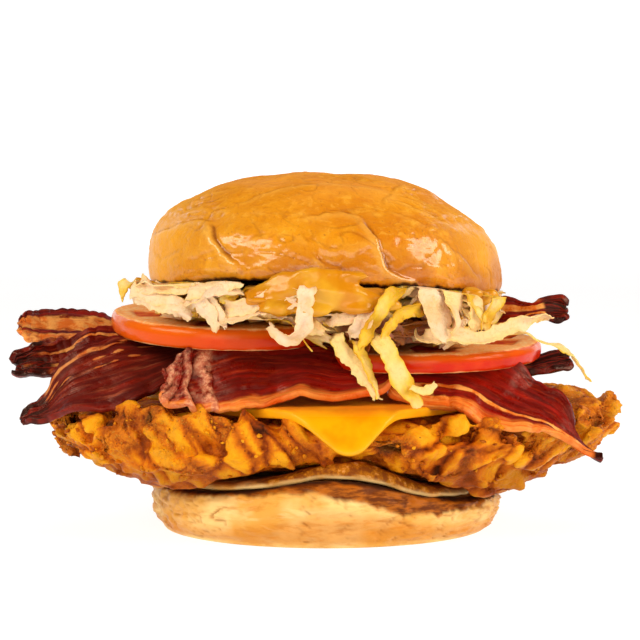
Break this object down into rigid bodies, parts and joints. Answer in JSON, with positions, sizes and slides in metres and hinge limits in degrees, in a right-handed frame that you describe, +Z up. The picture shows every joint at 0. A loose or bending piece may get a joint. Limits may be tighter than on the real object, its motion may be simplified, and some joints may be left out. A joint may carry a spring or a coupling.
{
  "type": "chicken burger",
  "caption": "Fried chicken burger in a glazed soft bun with melted cheese, bacon, tomato, shredded lettuce and sauce, standing on its flat base.",
  "frame": {"origin": "centre of the flat underside of the lower bun half, on the surface the burger stands on", "axes": "+X to the eater's right along the fillet's length, -Y the front that the picture shows, +Z up"},
  "size_m": [0.1895, 0.1224, 0.109],
  "materials": {
    "glazed_crust": "baked, glazed and shiny",
    "soft_crust": "soft matte bread with a toasted edge",
    "pale_sauce": "wet creamy sauce",
    "fried_breading": "craggy fried breading, slightly oily",
    "cheese": "smooth, soft sheen",
    "bacon": "fried, glossy with fat",
    "tomato": "wet skin and flesh",
    "lettuce": "crisp damp leaf",
    "orange_sauce": "wet thick sauce"
  },
  "bodies": {
    "root": {"bun_heel": "soft_crust", "heel_sauce": "pale_sauce", "chicken_fillet": "fried_breading", "cheese_slice": "cheese", "bacon_long": "bacon", "bacon_left_back": "bacon", "bacon_left_front": "bacon", "bacon_right_front": "bacon", "bacon_front": "bacon", "bacon_right_top": "bacon", "tomato_left": "tomato", "tomato_right": "tomato", "shredded_lettuce": "lettuce", "burger_sauce": "orange_sauce", "bun_crown": "glazed_crust"}
  },
  "joints": []
}
